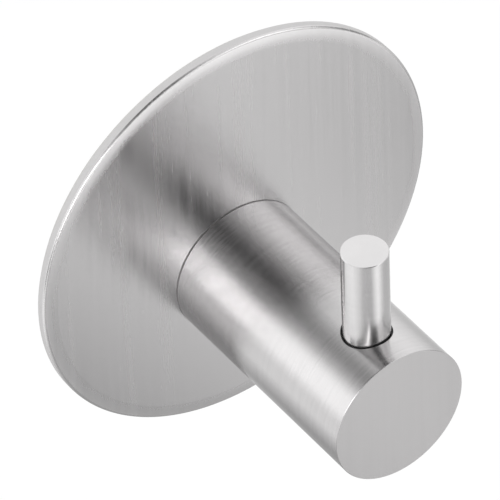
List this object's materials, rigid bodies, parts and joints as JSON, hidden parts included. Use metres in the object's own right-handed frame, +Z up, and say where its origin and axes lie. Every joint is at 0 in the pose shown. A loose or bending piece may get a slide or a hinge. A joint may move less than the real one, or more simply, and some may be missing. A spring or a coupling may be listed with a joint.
{
  "type": "adhesive wall hook",
  "caption": "Round self-adhesive wall hook in brushed stainless steel: a thin disc carries a thick round post with an upright peg near its end, for towels, robes or bags.",
  "frame": {"origin": "centre of the round adhesive face, on the wall", "axes": "+Z up the wall and along the peg, +Y into the wall, so the post stands out along -Y; +X to the right for someone who faces the wall"},
  "size_m": [0.058, 0.036, 0.058],
  "materials": {
    "pad_foam": "matt white foam tape with a tacky acrylic face",
    "plate_steel": "stainless steel with straight upright brushing",
    "post_steel": "stainless steel brushed round the bar, with a straight grained end face",
    "peg_steel": "stainless steel, finely turned",
    "screw_steel": "plain stainless steel"
  },
  "bodies": {
    "root": {"adhesive_pad": "pad_foam", "back_plate": "plate_steel", "post": "post_steel", "peg": "peg_steel", "fixing_screw": "screw_steel"}
  },
  "joints": []
}
